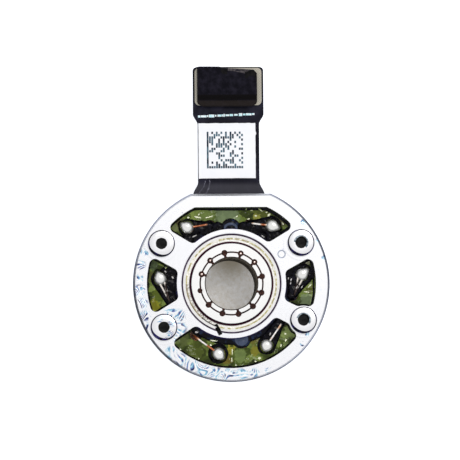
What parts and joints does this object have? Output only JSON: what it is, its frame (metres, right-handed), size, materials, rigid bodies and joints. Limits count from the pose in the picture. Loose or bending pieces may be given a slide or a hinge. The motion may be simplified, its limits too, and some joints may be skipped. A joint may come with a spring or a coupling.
{
  "type": "hollow-shaft brushless pancake motor",
  "caption": "Flat round brushless outrunner motor with a hollow shaft in ball bearings, a bossed aluminium base plate and a short flex tail with a board connector.",
  "frame": {"origin": "on the motor's axis, in the bell's rear face, on which the motor stands", "axes": "+Z along the motor's axis from the bell towards the mounting bosses, +Y along the flex tail, +X to the right seen from the bosses with the tail up"},
  "size_m": [0.022, 0.0354, 0.0091],
  "materials": {
    "machined_aluminium": "fly-cut and turned, natural",
    "bearing_steel": "ground ring",
    "polished_balls": "lapped",
    "pressed_steel": "pressed sheet",
    "straw_spring_wire": "tempered, straw tint",
    "stainless_steel": "turned",
    "weld_metal": "burnt spot weld",
    "nickel_plated_steel": "bright nickel over turned steel",
    "plated_magnet": "nickel-plated sintered magnet",
    "silicon_steel": "stamped and varnished",
    "navy_nylon": "moulded",
    "enamelled_copper": "enamelled copper winding wire",
    "olive_laminate": "glass-epoxy laminate under solder mask",
    "solder": "tin alloy, bright",
    "dark_resin": "cast in place",
    "black_epoxy": "moulded",
    "black_flex": "laminated film",
    "white_label": "printed polyester film",
    "cream_stiffener": "cut laminate",
    "black_foam": "open-cell foam",
    "gilt_contact": "gold-plated copper alloy",
    "black_lcp": "moulded"
  },
  "bodies": {
    "stator": {"base_plate": "machined_aluminium", "threaded_bosses": "stainless_steel", "preload_washer": "pressed_steel", "stator_laminations": "silicon_steel", "rear_insulator": "navy_nylon", "front_insulator": "navy_nylon", "stator_coils": "enamelled_copper", "winding_board": "olive_laminate", "winding_leads": "enamelled_copper", "solder_joints": "solder", "resin_dabs": "dark_resin", "hall_sensors": "black_epoxy", "flex_root": "black_flex", "front_bearing_outer_ring": "bearing_steel", "front_bearing_shields": "pressed_steel", "front_bearing_snap_wires": "straw_spring_wire", "rear_bearing_outer_ring": "bearing_steel", "rear_bearing_shields": "pressed_steel", "rear_bearing_snap_wires": "straw_spring_wire"},
    "rotor": {"rotor_bell": "nickel_plated_steel", "rotor_magnets": "plated_magnet", "rotor_shaft": "stainless_steel", "shaft_collar": "stainless_steel", "weld_spots": "weld_metal", "front_bearing_inner_ring": "bearing_steel", "rear_bearing_inner_ring": "bearing_steel"},
    "front_cage": {"front_bearing_cage": "pressed_steel", "front_bearing_balls": "polished_balls"},
    "rear_cage": {"rear_bearing_cage": "pressed_steel", "rear_bearing_balls": "polished_balls"},
    "tail": {"flex_tail": "black_flex", "label": "white_label", "stiffener": "cream_stiffener", "foam_pad": "black_foam", "connector_housing": "black_lcp", "connector_contacts": "gilt_contact", "connector_tabs": "gilt_contact"}
  },
  "joints": [
    {"name": "rotor_spin", "type": "hinge", "parent": "stator", "child": "rotor", "pos_m": [0, 0, 0], "axis": [0, 0, 1], "continuous": true},
    {"name": "front_cage_spin", "type": "hinge", "parent": "stator", "child": "front_cage", "pos_m": [0, 0, 0.0069], "axis": [0, 0, 1], "continuous": true},
    {"name": "rear_cage_spin", "type": "hinge", "parent": "stator", "child": "rear_cage", "pos_m": [0, 0, 0.0028], "axis": [0, 0, 1], "continuous": true},
    {"name": "tail_bend", "type": "hinge", "parent": "stator", "child": "tail", "pos_m": [-0.00015, 0.01105, 0.00695], "axis": [1, 0, 0], "range_deg": [-90, 90], "stiffness_Nm_per_rad": 0.003}
  ],
  "couplings": [
    {"joint": "front_cage_spin", "follows": "rotor_spin", "ratio": 0.44444},
    {"joint": "rear_cage_spin", "follows": "rotor_spin", "ratio": 0.44444}
  ]
}
